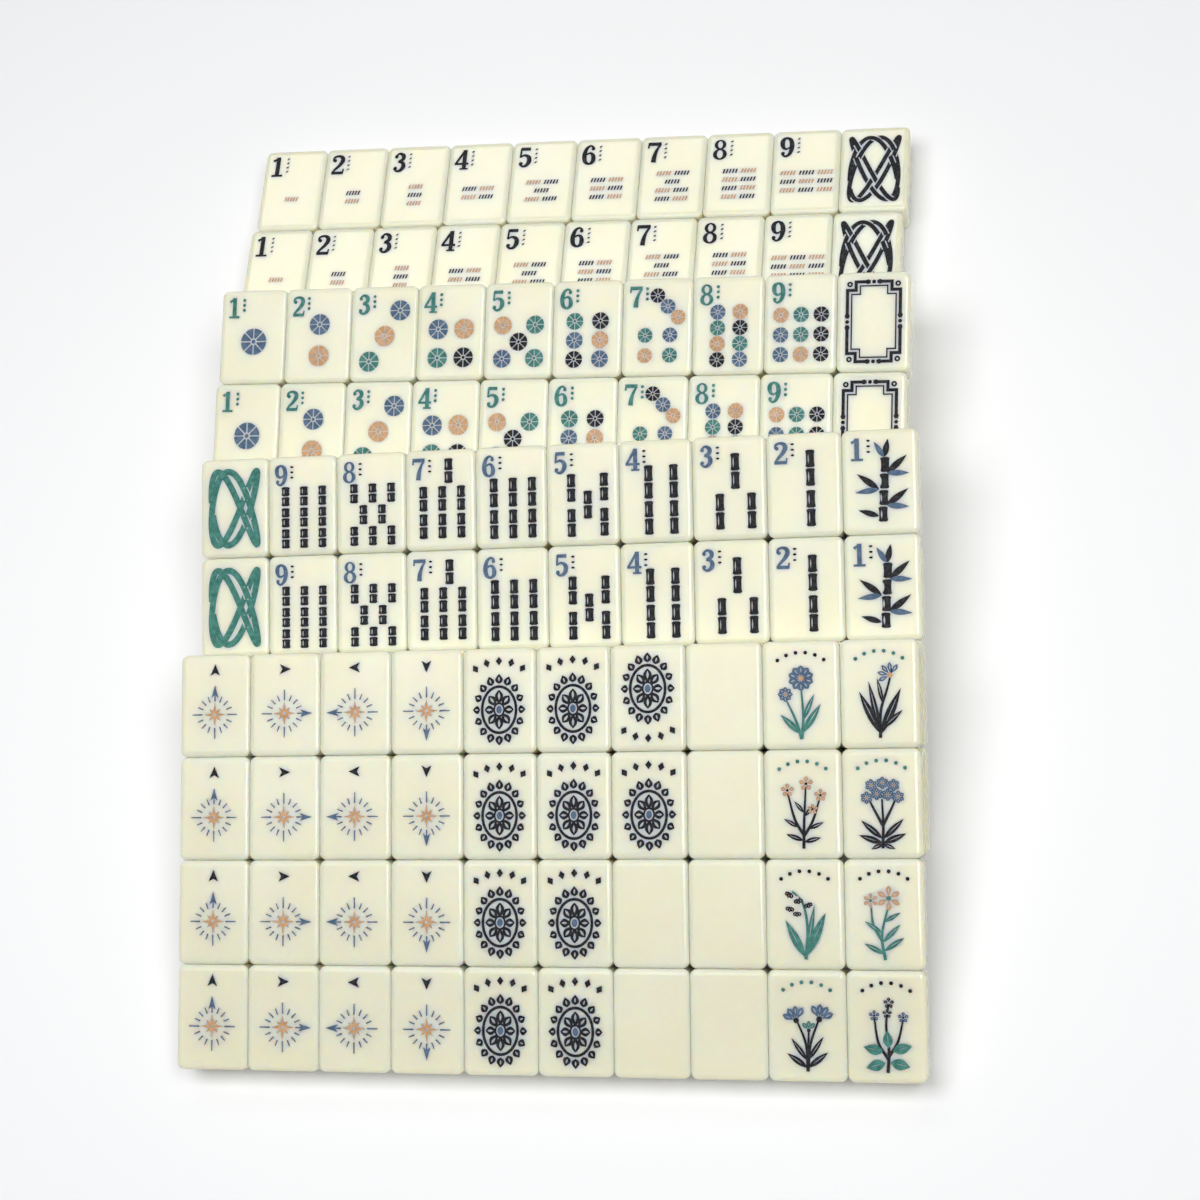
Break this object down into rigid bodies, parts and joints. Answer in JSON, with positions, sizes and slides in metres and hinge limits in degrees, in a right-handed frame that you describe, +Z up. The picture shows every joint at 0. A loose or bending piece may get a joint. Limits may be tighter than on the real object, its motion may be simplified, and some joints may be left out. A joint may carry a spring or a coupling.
{
  "type": "mahjong tile set",
  "caption": "Mahjong set of rounded ivory tiles, packed edge to edge in slabs that lean on one another like shingles; the slabs and the loose tiles lift off.",
  "frame": {"origin": "on the table below the middle of the set", "axes": "+X to the right along a row of tiles, +Y away from the player along the columns, +Z up"},
  "size_m": [0.2309, 0.304, 0.0433],
  "materials": {
    "ivory_resin": "polished ivory resin",
    "black_enamel": "black paint in the engraving",
    "blue_enamel": "blue paint in the engraving",
    "teal_enamel": "teal paint in the engraving",
    "tan_enamel": "tan paint in the engraving"
  },
  "bodies": {
    "crak_slab": {"crak_1_tiles": "ivory_resin", "crak_2_tiles": "ivory_resin", "crak_3_tiles": "ivory_resin", "crak_4_tiles": "ivory_resin", "crak_5_tiles": "ivory_resin", "crak_6_tiles": "ivory_resin", "crak_7_tiles": "ivory_resin", "crak_8_tiles": "ivory_resin", "crak_9_tiles": "ivory_resin", "black_dragon_tiles": "ivory_resin"},
    "dot_slab": {"dot_1_tiles": "ivory_resin", "dot_2_tiles": "ivory_resin", "dot_3_tiles": "ivory_resin", "dot_4_tiles": "ivory_resin", "dot_5_tiles": "ivory_resin", "dot_6_tiles": "ivory_resin", "dot_7_tiles": "ivory_resin", "dot_8_tiles": "ivory_resin", "dot_9_tiles": "ivory_resin", "white_dragon_tiles": "ivory_resin"},
    "bam_slab": {"bam_1_tiles": "ivory_resin", "bam_2_tiles": "ivory_resin", "bam_3_tiles": "ivory_resin", "bam_4_tiles": "ivory_resin", "bam_5_tiles": "ivory_resin", "bam_6_tiles": "ivory_resin", "bam_7_tiles": "ivory_resin", "bam_8_tiles": "ivory_resin", "bam_9_tiles": "ivory_resin", "green_dragon_tiles": "ivory_resin"},
    "honour_slab": {"north_wind_tiles": "ivory_resin", "east_wind_tiles": "ivory_resin", "west_wind_tiles": "ivory_resin", "south_wind_tiles": "ivory_resin"},
    "joker_tile_1": {"joker_tile_1": "ivory_resin"},
    "joker_tile_2": {"joker_tile_2": "ivory_resin"},
    "joker_tile_3": {"joker_tile_3": "ivory_resin"},
    "joker_tile_4": {"joker_tile_4": "ivory_resin"},
    "joker_tile_5": {"joker_tile_5": "ivory_resin"},
    "joker_tile_6": {"joker_tile_6": "ivory_resin"},
    "joker_tile_7": {"joker_tile_7": "ivory_resin"},
    "joker_tile_8": {"joker_tile_8": "ivory_resin"},
    "joker_tile_9": {"joker_tile_9": "ivory_resin"},
    "joker_tile_10": {"joker_tile_10": "ivory_resin"},
    "blank_tile_1": {"blank_tile_1": "ivory_resin"},
    "blank_tile_2": {"blank_tile_2": "ivory_resin"},
    "blank_tile_3": {"blank_tile_3": "ivory_resin"},
    "blank_tile_4": {"blank_tile_4": "ivory_resin"},
    "blank_tile_5": {"blank_tile_5": "ivory_resin"},
    "blank_tile_6": {"blank_tile_6": "ivory_resin"},
    "flower_tile_1": {"flower_tile_1": "ivory_resin"},
    "flower_tile_2": {"flower_tile_2": "ivory_resin"},
    "flower_tile_3": {"flower_tile_3": "ivory_resin"},
    "flower_tile_4": {"flower_tile_4": "ivory_resin"},
    "flower_tile_5": {"flower_tile_5": "ivory_resin"},
    "flower_tile_6": {"flower_tile_6": "ivory_resin"},
    "flower_tile_7": {"flower_tile_7": "ivory_resin"},
    "flower_tile_8": {"flower_tile_8": "ivory_resin"}
  },
  "joints": [
    {"name": "dot_slab_lift", "type": "slide", "parent": "crak_slab", "child": "dot_slab", "axis": [0, 0, 1], "range_m": [0, 0.05]},
    {"name": "bam_slab_lift", "type": "slide", "parent": "dot_slab", "child": "bam_slab", "axis": [0, 0, 1], "range_m": [0, 0.05]},
    {"name": "honour_slab_lift", "type": "slide", "parent": "bam_slab", "child": "honour_slab", "axis": [0, 0, 1], "range_m": [0, 0.05]},
    {"name": "joker_tile_1_lift", "type": "slide", "parent": "honour_slab", "child": "joker_tile_1", "axis": [0.0094, -0.2346, 0.972], "range_m": [0, 0.03]},
    {"name": "joker_tile_2_lift", "type": "slide", "parent": "honour_slab", "child": "joker_tile_2", "axis": [0.0094, -0.2346, 0.972], "range_m": [0, 0.03]},
    {"name": "joker_tile_3_lift", "type": "slide", "parent": "honour_slab", "child": "joker_tile_3", "axis": [0.0094, -0.2346, 0.972], "range_m": [0, 0.03]},
    {"name": "joker_tile_4_lift", "type": "slide", "parent": "honour_slab", "child": "joker_tile_4", "axis": [0.0094, -0.2346, 0.972], "range_m": [0, 0.03]},
    {"name": "joker_tile_5_lift", "type": "slide", "parent": "honour_slab", "child": "joker_tile_5", "axis": [0.0094, -0.2346, 0.972], "range_m": [0, 0.03]},
    {"name": "joker_tile_6_lift", "type": "slide", "parent": "honour_slab", "child": "joker_tile_6", "axis": [0.0094, -0.2346, 0.972], "range_m": [0, 0.03]},
    {"name": "joker_tile_7_lift", "type": "slide", "parent": "honour_slab", "child": "joker_tile_7", "axis": [0.0094, -0.2346, 0.972], "range_m": [0, 0.03]},
    {"name": "joker_tile_8_lift", "type": "slide", "parent": "honour_slab", "child": "joker_tile_8", "axis": [0.0094, -0.2346, 0.972], "range_m": [0, 0.03]},
    {"name": "joker_tile_9_lift", "type": "slide", "parent": "honour_slab", "child": "joker_tile_9", "axis": [0.0094, -0.2346, 0.972], "range_m": [0, 0.03]},
    {"name": "joker_tile_10_lift", "type": "slide", "parent": "honour_slab", "child": "joker_tile_10", "axis": [0.0094, -0.2346, 0.972], "range_m": [0, 0.03]},
    {"name": "blank_tile_1_lift", "type": "slide", "parent": "honour_slab", "child": "blank_tile_1", "axis": [0.0094, -0.2346, 0.972], "range_m": [0, 0.03]},
    {"name": "blank_tile_2_lift", "type": "slide", "parent": "honour_slab", "child": "blank_tile_2", "axis": [0.0094, -0.2346, 0.972], "range_m": [0, 0.03]},
    {"name": "blank_tile_3_lift", "type": "slide", "parent": "honour_slab", "child": "blank_tile_3", "axis": [0.0094, -0.2346, 0.972], "range_m": [0, 0.03]},
    {"name": "blank_tile_4_lift", "type": "slide", "parent": "honour_slab", "child": "blank_tile_4", "axis": [0.0094, -0.2346, 0.972], "range_m": [0, 0.03]},
    {"name": "blank_tile_5_lift", "type": "slide", "parent": "honour_slab", "child": "blank_tile_5", "axis": [0.0094, -0.2346, 0.972], "range_m": [0, 0.03]},
    {"name": "blank_tile_6_lift", "type": "slide", "parent": "honour_slab", "child": "blank_tile_6", "axis": [0.0094, -0.2346, 0.972], "range_m": [0, 0.03]},
    {"name": "flower_tile_1_lift", "type": "slide", "parent": "honour_slab", "child": "flower_tile_1", "axis": [0.0094, -0.2346, 0.972], "range_m": [0, 0.03]},
    {"name": "flower_tile_2_lift", "type": "slide", "parent": "honour_slab", "child": "flower_tile_2", "axis": [0.0094, -0.2346, 0.972], "range_m": [0, 0.03]},
    {"name": "flower_tile_3_lift", "type": "slide", "parent": "honour_slab", "child": "flower_tile_3", "axis": [0.0094, -0.2346, 0.972], "range_m": [0, 0.03]},
    {"name": "flower_tile_4_lift", "type": "slide", "parent": "honour_slab", "child": "flower_tile_4", "axis": [0.0094, -0.2346, 0.972], "range_m": [0, 0.03]},
    {"name": "flower_tile_5_lift", "type": "slide", "parent": "honour_slab", "child": "flower_tile_5", "axis": [0.0094, -0.2346, 0.972], "range_m": [0, 0.03]},
    {"name": "flower_tile_6_lift", "type": "slide", "parent": "honour_slab", "child": "flower_tile_6", "axis": [0.0094, -0.2346, 0.972], "range_m": [0, 0.03]},
    {"name": "flower_tile_7_lift", "type": "slide", "parent": "honour_slab", "child": "flower_tile_7", "axis": [0.0094, -0.2346, 0.972], "range_m": [0, 0.03]},
    {"name": "flower_tile_8_lift", "type": "slide", "parent": "honour_slab", "child": "flower_tile_8", "axis": [0.0094, -0.2346, 0.972], "range_m": [0, 0.03]}
  ]
}
